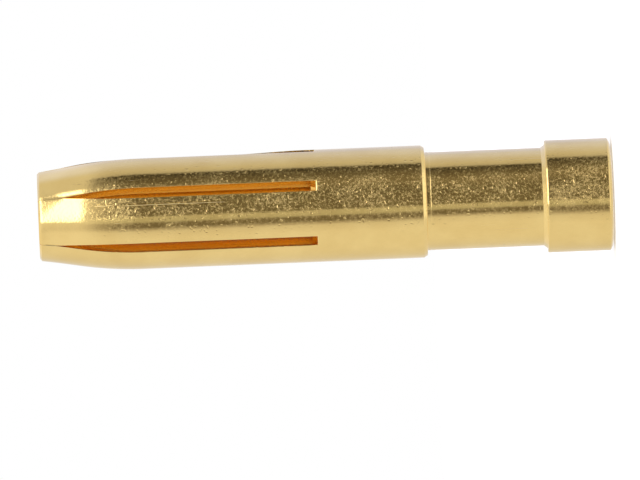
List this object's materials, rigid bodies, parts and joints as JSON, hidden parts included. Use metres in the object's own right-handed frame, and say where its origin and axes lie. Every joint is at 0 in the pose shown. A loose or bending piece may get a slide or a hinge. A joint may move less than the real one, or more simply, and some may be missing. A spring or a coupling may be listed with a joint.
{
  "type": "crimp socket contact",
  "caption": "Turned, gold-plated female crimp contact: slotted socket with pinched spring tines for a round pin, plain body, thinner barrel neck and end collar with a wire hole.",
  "frame": {"origin": "centre of the flat annular face at the wire end, on which the contact stands", "axes": "+Z along the contact's axis, from the wire end to the tip of the tines; a slot lies on +X"},
  "size_m": [0.0046, 0.0046, 0.024],
  "materials": {
    "gold_plate": "satin gold plating over turned brass, with a fine tumbled grain"
  },
  "bodies": {
    "root": {"socket_contact": "gold_plate"}
  },
  "joints": []
}
